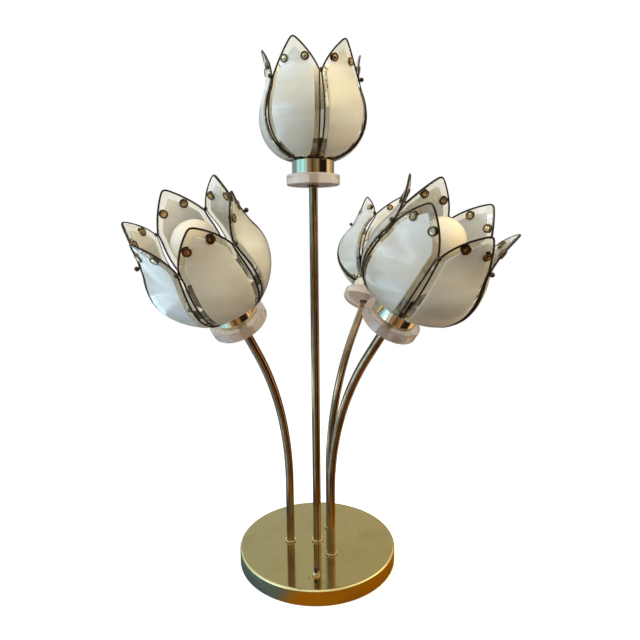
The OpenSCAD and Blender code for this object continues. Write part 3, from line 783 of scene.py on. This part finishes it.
def stem_tube(i):
    """Tube along the stem: a ring of points led up the straight, round the bend and up the neck."""
    bm = bmesh.new()
    ring = bmesh.ops.create_circle(bm, cap_ends=False, segments=32, radius=stem_r)["verts"]
    bmesh.ops.translate(bm, verts=ring, vec=(0, 0, stem_feet[i]))

    def lift(edges, way):
        made = bmesh.ops.extrude_edge_only(bm, edges=edges)["geom"]
        bmesh.ops.translate(bm, verts=only(made, bmesh.types.BMVert), vec=way)
        return only(made, bmesh.types.BMEdge)

    if i == 0:
        lift(list(bm.edges), (0, 0, middle_h + past_disc - stem_feet[0]))
    else:
        bend_z = base_h + stem_rise
        edges = lift(list(bm.edges), (0, 0, bend_z - stem_feet[i]))
        verts = list({v for e in edges for v in e.verts})
        made = bmesh.ops.spin(
            bm, geom=verts + edges, cent=(bend_r, 0, bend_z), axis=(0, 1, 0),
            angle=lean, steps=64, use_merge=False,
        )["geom_last"]
        way = Matrix.Rotation(lean, 3, "Y") @ Vector((0, 0, neck + past_disc))
        lift(only(made, bmesh.types.BMEdge), way)
        bmesh.ops.transform(bm, matrix=stem_place(i), verts=bm.verts)
    bmesh.ops.remove_doubles(bm, verts=bm.verts, dist=1e-7)
    bmesh.ops.recalc_face_normals(bm, faces=bm.faces)
    bmesh.ops.solidify(bm, geom=list(bm.faces), thickness=stem_wall)
    finish_mesh(bm)
    name = flowers[i]
    make_piece(f"stem_tube_{name}", bm, ["stem"], [f"stem_{name}"])


# What carries a flower
def foot_pieces(i):
    """Disc and cup of one flower."""
    name, place = flowers[i], flower_places[i]
    bore = ferrule_r + play
    bm = turned([(bore, 0), (disc_r, 0), (disc_r, disc_t), (bore, disc_t)], 128)
    bm = rounded(bm, disc_rounding, 4)
    finish_mesh(bm)
    bmesh.ops.transform(bm, matrix=place, verts=bm.verts)
    make_piece(f"disc_{name}", bm, ["acrylic"], [f"acrylic_disc_{name}"], flat=True)
    inner, floor_z = cup_r - cup_wall, cup_z + cup_floor
    section = [
        (cup_bore_r, cup_z), (cup_r, cup_z), (cup_r, rim_z),
        (inner, rim_z), (inner, floor_z), (cup_bore_r, floor_z),
    ]
    bm = rounded(turned(section, 128), cup_rounding)
    finish_mesh(bm)
    bmesh.ops.transform(bm, matrix=place, verts=bm.verts)
    make_piece(f"cup_shell_{name}", bm, ["cup"], [f"cup_{name}"], flat=True)


def ferrules():
    """Ribbed ferrules that hold the discs, with a collar under each in dark bronze as painted shade under the
    disc.
    """
    collar, collar_low, collar_bore = 0.0073, -0.0015, 0.0056
    bore, shoulder_z, high = 0.0048, 0.0046, disc_t - play
    section = [(collar_bore, collar_low), (collar, collar_low), (collar, -play), (ferrule_r, -play)]
    ribs, margin, depth, top_step = 9, 0.0005, 0.00025, 0.0002
    ribbed = high - 2 * margin
    step = ribbed / ribs
    rib = ((depth, 0.1), (0, 0.35), (0, 0.75), (depth, 0.98))
    for k in range(ribs):
        z = margin + ribbed * k / ribs
        section += [(ferrule_r - inset, z + step * share) for inset, share in rib]
    section += [(ferrule_r - top_step, high), (bore, high), (bore, shoulder_z), (collar_bore, shoulder_z)]
    bm = turned(section, 64)
    for face in bm.faces:
        # The collar under the disc takes the dark wire bronze: painted shade
        face.material_index = 1 if face.calc_center_median().z < 0 else 0
    finish_mesh(bm, 30)
    make_piece("ferrules", repeated(bm, flower_places), ["ferrule", "wire"], ["stem_ferrules"])


# Petals
def border_width(share):
    """Width of the clear border at a share of the way up: wider near the foot and near the point."""
    at_foot = max(0, 1 - share / 0.4) ** 2
    at_point = max(0, share / 0.3 - 7 / 3) ** 2
    return border + foot_widening * at_foot + point_widening * at_point


def ridge_line(edge):
    """Where the border begins: angle round the bend, height, radius, and the edge beside it."""
    ridge = []
    last = len(edge) - 1
    for k in range(1, last):
        along = (edge[k + 1] - edge[k - 1]).normalized()
        inward = glass_normal(edge[k]).cross(along)
        if inward.y > 0:
            inward = -inward
        p = edge[k] + border_width(k / last) * inward
        ridge.append((math.atan2(p.y, p.x + back_x), p.z, glass_x(p.z) + back_x, edge[k]))
    low_z = glass_line(foot_border)[1]
    return [spot for spot in ridge if spot[1] >= low_z and spot[0] > 0]


def even_rows(ridge, rows):
    """Angle, height and edge point at even lengths along the ridge."""
    line = [Vector((r * math.cos(a), r * math.sin(a), z)) for a, z, r, _ in ridge]
    lengths = [0.0]
    for p, q in zip(line, line[1:]):
        lengths.append(lengths[-1] + (q - p).length)
    picked, at = [], 0
    for j in range(rows):
        goal = lengths[-1] * j / rows
        while lengths[at + 1] < goal:
            at += 1
        f = (goal - lengths[at]) / (lengths[at + 1] - lengths[at])
        one, two = ridge[at], ridge[at + 1]
        a, z = (one[m] + (two[m] - one[m]) * f for m in range(2))
        picked.append((a, z, one[3].lerp(two[3], f)))
    return picked


def spot_of(co):
    """A place as a key that two vertices at the same spot share."""
    return tuple(round(c, 9) for c in co)


def opal_sheet(bm):
    """The opal middle as a bent grid; gives the point of the glass edge beside each outer vertex."""
    rows, columns, blunting = 52, 24, 0.0006
    edge = edge_points(240, 0, glass_foot)
    ridge = ridge_line(edge)
    picked = even_rows(ridge, rows)
    foot_x_z = glass_line(0)
    bmesh.ops.create_grid(bm, x_segments=columns, y_segments=rows, size=0.5)
    goals = {}
    for v in bm.verts:
        s, j = v.co.x * 2, round((v.co.y + 0.5) * rows)
        goal = None
        if j == rows:
            a, z, goal = 0, ridge[-1][1] + blunting, edge[-1]
        else:
            a, z, beside = picked[j]
            a *= s
            if j == 0:
                goal = glass_point(foot_x_z[0], edge[0].y * s, foot_x_z[1])
            elif abs(s) > 0.999:
                goal = Vector((beside.x, beside.y * (1 if s > 0 else -1), beside.z))
        r = glass_x(z) + back_x
        v.co = (r * math.cos(a) - back_x, r * math.sin(a), z)
        if goal:
            goals[spot_of(v.co)] = goal
    return goals


def petal_glass():
    """One petal: an opal body, a pale ground line painted as the highlight where the bevel starts, and a
    clear border bevelled down to its edge.
    """
    bm = bmesh.new()
    # 0 in the opal middle, 1 where the border begins, 2 at the edge of the glass
    level_of = bm.verts.layers.int.new("level")
    goals = opal_sheet(bm)
    edges = [e for e in bm.edges if e.is_boundary]
    for level in (1, 2):
        made = bmesh.ops.extrude_edge_only(bm, edges=edges)["geom"]
        edges = only(made, bmesh.types.BMEdge)
        moved = {}
        for v in only(made, bmesh.types.BMVert):
            end = goals[spot_of(v.co)]
            v.co = v.co.lerp(end, groove / (end - v.co).length) if level == 1 else end
            v[level_of] = level
            moved[spot_of(v.co)] = end
        goals = moved
    # Level 1 faces take the pale ground line, a painted highlight
    for face in bm.faces:
        face.material_index = max(v[level_of] for v in face.verts)
    bmesh.ops.remove_doubles(bm, verts=bm.verts, dist=1e-6)
    for v in bm.verts:
        v.co -= glass_normal(v.co) * glass_t / 2
    made = bmesh.ops.extrude_face_region(bm, geom=list(bm.faces), use_keep_orig=True)["geom"]
    for v in only(made, bmesh.types.BMVert):
        v.co += glass_normal(v.co) * (glass_t, groove_t, edge_t)[v[level_of]]
    for face in bm.faces:
        if min(v[level_of] for v in face.verts) == 2:
            face.material_index = 2
    finish_mesh(bm, 50)
    for e in bm.edges:
        looks = [face.material_index for face in e.link_faces]
        if len(looks) == 2 and looks[0] != looks[1]:
            e.smooth = False
    return bm


def wire_points():
    """Centre line of the wire round one petal, from the middle of its foot."""
    half = edge_points(64, wire_off, wire_foot)
    foot_steps = 6
    foot = [glass_point(foot_x, half[0].y * k / foot_steps, foot_z) for k in range(foot_steps)]
    right = foot + half
    loop = right + [Vector((p.x, -p.y, p.z)) for p in reversed(right[1:-1])]
    tip = len(right) - 1
    bends = [tip - 1, tip, tip + 1]
    bends += [at for k in range(foot_steps - 2, foot_steps + 3) for at in (k, len(loop) - k)]
    for _ in range(2):
        softened = list(loop)
        for at in bends:
            softened[at] = (loop[at - 1] + loop[at] * 2 + loop[(at + 1) % len(loop)]) / 4
        loop = softened
    return loop


def wire_mesh(name, loops):
    """Round wires led along closed lines."""
    curve = bpy.data.curves.new(name, "CURVE")
    curve.dimensions = "3D"
    curve.bevel_depth = wire_r
    curve.bevel_resolution = 3
    curve.use_fill_caps = False
    for loop in loops:
        line = curve.splines.new("POLY")
        line.points.add(len(loop) - 1)
        line.use_cyclic_u = True
        for point, p in zip(line.points, loop):
            point.co = (p.x, p.y, p.z, 1)
    mesh = evaluated_mesh(add_object(name + "_line", curve))
    for face in mesh.polygons:
        face.use_smooth = True
    mesh.name = name
    return mesh


def petals():
    wire = wire_points()
    for i, name in enumerate(flowers):
        places = petal_places(i)
        glass = repeated(petal_glass(), places)
        make_piece(
            f"petal_glass_{name}", glass, ["opal", "ground", "clear"], [f"petals_{name}"],
        )
        wires = wire_mesh(f"petal_wires_{name}", [[place @ p for p in wire] for place in places])
        make_piece(f"petal_wires_{name}", wires, ["wire"], [f"wire_frames_{name}"])


def clips():
    """Pairs of pressed discs that hold each petal near its tip, one outside and one inside."""
    shares = (
        (0, 0.95), (0.34, 0.86), (0.50, 0.62), (0.60, 0.62), (0.72, 1), (0.88, 1), (1, 0.6), (1, 0), (0, 0),
    )
    bm = turned([(clip_r * r, clip_t * t) for r, t in shares], 32)
    for face in bm.faces:
        spot = face.calc_center_median()
        face.material_index = 1 if math.hypot(spot.x, spot.y) < clip_r * 0.58 else 0
    finish_mesh(bm, 50)
    off = glass_t / 2 + glass_seat
    places = []
    for petal in (place for i in range(4) for place in petal_places(i)):
        for side in (-1, 1):
            spot = glass_point(glass_x(clip_z), side * clip_w, clip_z)
            out = glass_normal(spot)
            for way in (-1, 1):
                aim = (out * way).to_track_quat("Z", "Y").to_matrix().to_4x4()
                places.append(petal @ Matrix.Translation(spot + out * way * off) @ aim)
    make_piece("petal_clip_discs", repeated(bm, places), ["clip_rim", "clip_face"], ["petal_clips"])


def balls():
    """A ball on each join, lying against the two wires beside it."""
    bm = bmesh.new()
    bmesh.ops.create_icosphere(bm, subdivisions=3, radius=ball_r)
    finish_mesh(bm, 60)
    lie = math.sqrt((wire_r + play + ball_r) ** 2 - join_gap**2)
    x = glass_x(join_z)
    wire_at = glass_point(x, side_width(x, join_z, wire_off), join_z)
    out = wire_at.x * math.cos(join_turn) + wire_at.y * math.sin(join_turn) + lie
    shift = Matrix.Translation((out, 0, join_z))
    places = [place @ shift for i in range(4) for place in petal_places(i, 30)]
    make_piece("join_beads", repeated(bm, places), ["ball"], ["join_balls"])


def globes():
    """Blown bulbs: a round globe that draws in to a short neck on the cap."""
    foot, neck_r, wall = 0.0801, 0.0068, 0.0008
    neck_top, shoulder = foot + 0.006, 0.0012
    start = -math.acos((neck_r + shoulder) / globe_r)
    outer = [(neck_r, foot), (neck_r, neck_top)]
    outer += arc_points((0, globe_z), globe_r, start, math.pi / 2, 40)
    inner = arc_points((0, globe_z), globe_r - wall, math.pi / 2, start, 30)
    inner += [(neck_r - wall, neck_top), (neck_r - wall, foot)]
    outer[-1] = (0, outer[-1][1])
    inner[0] = (0, inner[0][1])
    for i, name in enumerate(flowers):
        bm = turned(outer + inner)
        finish_mesh(bm, 50)
        bmesh.ops.transform(bm, matrix=flower_places[i], verts=bm.verts)
        make_piece(f"globe_{name}", bm, ["globe"], [f"bulb_globe_{name}"], f"bulb_{name}")


base_cover()
stem_seats()
for i in range(4):
    stem_tube(i)
    foot_pieces(i)
ferrules()
petals()
clips()
balls()
globes()

# CAD nodes that stay as they are, with a finish of their own
kept = {
    "base_weight": "iron", "base_pad": "felt", "stem_lock_nuts": "zinc", "weight_nut": "zinc",
    "socket_nipples": "zinc", "socket_nuts": "zinc", "lamp_leads": "lead", "wire_nuts": "phenolic",
    "switch_body": "phenolic",
}
for node, material in kept.items():
    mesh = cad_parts[node].data
    mesh.materials.clear()
    mesh.materials.append(mat[material])
copy_of("cord_gland", "inlet_gland", "phenolic")
copy_of("switch_ring_nut", "switch_nut", "ring")
copy_of("switch_button", "switch_plunger", "button", "switch_button")
for name in flowers:
    copy_of(f"petal_straps_{name}", f"straps_{name}", "strap")
    copy_of(f"socket_{name}", f"lampholder_{name}", "card")
    copy_of(f"bulb_cap_{name}", f"screw_cap_{name}", "zinc", f"bulb_{name}")


# Surroundings. Colours of the room by bearing: 0 is towards the camera, left is negative
room = (
    (-180, (0.16, 0.15, 0.13)), (-138, (0.24, 0.34, 0.34)), (-125, (0.26, 0.35, 0.38)),
    (-103, (0.24, 0.33, 0.42)), (-96, (0.50, 0.98, 1.30)), (-76, (0.42, 0.95, 1.32)),
    (-71, (0.26, 0.72, 1.05)), (-64, (0.58, 1.15, 1.50)), (-54, (0.55, 1.10, 1.40)),
    (-44, (0.33, 0.70, 0.86)), (-35, (0.60, 0.84, 0.95)), (-31, (0.26, 0.24, 0.17)),
    (-20, (0.30, 0.22, 0.14)), (-10, (0.18, 0.13, 0.08)), (-3, (0.06, 0.04, 0.02)),
    (4, (0.16, 0.11, 0.06)), (14, (0.20, 0.14, 0.07)), (22, (0.32, 0.25, 0.13)),
    (32, (0.20, 0.15, 0.08)), (37, (0.020, 0.012, 0.008)), (74, (0.012, 0.008, 0.006)),
    (80, (0.25, 0.18, 0.10)), (86, (0.95, 0.80, 0.52)), (98, (0.80, 0.64, 0.38)),
    (108, (0.58, 0.43, 0.23)), (126, (0.40, 0.30, 0.17)), (146, (0.13, 0.10, 0.07)),
    (180, (0.16, 0.15, 0.13)),
)

# Windows and lamps that only reflections see: span of bearing, span of height, light
windows = (
    ((-86, -66), (0.24, 0.40), (2.4, 3.2, 4.2)), ((-63, -44), (0.24, 0.40), (2.4, 3.2, 4.2)),
    ((58, 118), (0.46, 0.62), (2.2, 1.64, 0.84)), ((60, 112), (0.66, 0.72), (2.2, 1.7, 0.9)),
)

# Window light lying on the floor, that only reflections see: span of x, span of y
pools = (((-1.02, -0.80), (-0.5, 0.9)), ((-0.76, -0.62), (-0.5, 0.9)))

white = (1.0, 1.0, 1.0)


def room_colours(tree, way):
    """Colour of the room and bearing, from the way that a ray leaves."""
    x, y, _ = axes(tree, way)
    bearing = math_node(tree, "ARCTAN2", x, product(tree, y, -1.0))
    ramp = tree.nodes.new("ShaderNodeValToRGB")
    link(tree, ramp_node(tree, bearing, -math.pi, math.pi, smooth=False), ramp.inputs["Fac"])
    stops = ramp.color_ramp.elements
    for k, (angle, colour) in enumerate(room):
        at = (angle + 180) / 360
        # A new ramp has two stops to use first
        stop = stops[k] if k < 2 else stops.new(at)
        stop.position = at
        stop.color = colour + (1.0,)
    return ramp.outputs["Color"], bearing


def ray_kinds(tree):
    """Whether a ray is seen, straight or through glass, and whether it is a reflection."""
    ray = tree.nodes.new("ShaderNodeLightPath").outputs
    seen = math_node(tree, "MAXIMUM", ray["Is Camera Ray"], ray["Is Transmission Ray"])
    return seen, ray["Is Glossy Ray"]


def patch(tree, across, up, width, height, soft):
    """1 inside a span across and a span up, 0 outside them, with soft borders."""
    borders = (
        (across, width[0] - soft, width[0]), (across, width[1] + soft, width[1]),
        (up, height[0] - soft, height[0]), (up, height[1] + soft, height[1]),
    )
    return product(tree, *(ramp_node(tree, value, low, high) for value, low, high in borders))


def pale_floor():
    """White floor that keeps the lamp's shadow; reflections see a table as dim as the room."""
    bm = bmesh.new()
    bmesh.ops.create_circle(bm, cap_ends=True, segments=96, radius=30)
    floor = add_object("floor", mesh_of("floor", bm))
    finish = Finish("pale_floor", Roughness=0.9, Specular_IOR_Level=0.1)
    tree, place = finish.tree, finish.place
    seen, glossy = ray_kinds(tree)
    x, y, _ = axes(tree, place)
    away = distance_to(tree, place, (0, 0, 0))
    # Far off the table has the room's colours, and beside the base those that its side shows
    table = mix_colour(tree, 1.0, room_colours(tree, place)[0], (0.80, 0.62, 0.68), "MULTIPLY")
    beside = finish.mix(ramp_node(tree, x, -0.065, -0.028), (0.105, 0.145, 0.19), (0.31, 0.145, 0.001))
    table = finish.mix(ramp_node(tree, away, 0.17, 0.26), beside, table)
    dim = math_node(tree, "MAXIMUM", ramp_node(tree, y, 0.02, -0.10), glossy)
    dim = product(tree, dim, math_node(tree, "SUBTRACT", 1.0, seen))
    finish.wire(finish.mix(dim, (0.84, 0.84, 0.84), table), "Base Color")
    first, second = (patch(tree, x, y, width, depth, 0.02) for width, depth in pools)
    pool = product(tree, math_node(tree, "MAXIMUM", first, second), glossy, 2.2)
    finish.wire(finish.mix(seen, (0.60, 0.85, 1.0), white), "Emission Color")
    finish.wire(math_node(tree, "ADD", product(tree, seen, 0.30), pool), "Emission Strength")
    # Away from the lamp the seen floor turns plain white
    glow = tree.nodes.new("ShaderNodeEmission")
    glow.inputs["Color"].default_value = (1, 1, 1, 1)
    blend = tree.nodes.new("ShaderNodeMixShader")
    link(tree, product(tree, ramp_node(tree, away, 0.25, 1.2), seen), blend.inputs[0])
    link(tree, finish.shader.outputs[0], blend.inputs[1])
    link(tree, glow.outputs[0], blend.inputs[2])
    link(tree, blend.outputs[0], tree.nodes["Material Output"].inputs["Surface"])
    floor.data.materials.append(finish.material)


def studio_world():
    """White surround; reflections see a dim room with cool windows, warm lamps and a pale ceiling."""
    world = bpy.data.worlds.new("studio")
    scene.world = world
    world.use_nodes = True
    tree = world.node_tree
    way = tree.nodes.new("ShaderNodeTexCoord").outputs["Generated"]
    colour, bearing = room_colours(tree, way)
    x, _, height = axes(tree, way)
    seen, glossy = ray_kinds(tree)
    sky = mix_colour(tree, ramp_node(tree, height, 0.0, 0.5), (0.46, 0.45, 0.42), (0.86, 0.86, 0.90))
    colour = mix_colour(tree, ramp_node(tree, glossy, 0, 1, 0.6, 0), colour, sky)
    ceiling = mix_colour(tree, ramp_node(tree, x, -0.18, 0.18), (0.90, 0.95, 1.0), (0.97, 0.88, 0.72))
    colour = mix_colour(tree, ramp_node(tree, height, 0.20, 0.34), colour, ceiling)
    for width, rise, light in windows:
        pane = patch(tree, bearing, height, [math.radians(a) for a in width], rise, 0.015)
        colour = mix_colour(tree, product(tree, pane, glossy), colour, light)
    back = tree.nodes["Background"]
    link(tree, mix_colour(tree, seen, colour, white), back.inputs["Color"])
    back.inputs["Strength"].default_value = 1.0


def soft_light(name, spot, aim, size, power, colour):
    lamp = bpy.data.lights.new(name, "AREA")
    lamp.shape = "RECTANGLE"
    lamp.size, lamp.size_y = size
    lamp.energy = power
    lamp.color = colour
    holder = add_object(name, lamp)
    holder.location = spot
    holder.rotation_euler = (Vector(aim) - Vector(spot)).to_track_quat("-Z", "Y").to_euler()
    holder.visible_glossy = False


pale_floor()
studio_world()
soft_light("window", (-1.85, -0.25, 0.7), (0, 0, 0.4), (0.8, 1.0), 27, (0.72, 0.88, 1.0))
soft_light("front_fill", (0.0, -1.7, 1.7), (0, 0, 0.45), (1.2, 0.8), 10, (0.96, 0.98, 1.0))
soft_light("warm_fill", (1.45, -0.8, 1.5), (0, 0, 0.5), (0.8, 1.0), 29, (1.0, 0.80, 0.40))

# Camera, where the photo was taken from: its lens from the focal length and width in pixels
photo_focal, photo_width, sensor = 518.73, 640, 36
camera_spot = (0, -0.67788, 0.44369)
yaw, pitch, roll = (math.radians(a) for a in (-0.58, 8.97, -0.57))
camera = add_object("camera", bpy.data.cameras.new("camera"))
scene.camera = camera
camera.data.sensor_width = sensor
camera.data.lens = sensor * photo_focal / photo_width
camera.data.clip_start = 0.01
forward = Vector((-math.sin(yaw) * math.cos(pitch), math.cos(yaw) * math.cos(pitch), -math.sin(pitch)))
level = Vector((math.cos(yaw), math.sin(yaw), 0))
upward = level.cross(forward)
right = level * math.cos(roll) + upward * math.sin(roll)
over = upward * math.cos(roll) - level * math.sin(roll)
turn = Matrix((right, over, -forward)).transposed().to_4x4()
camera.matrix_world = Matrix.Translation(camera_spot) @ turn
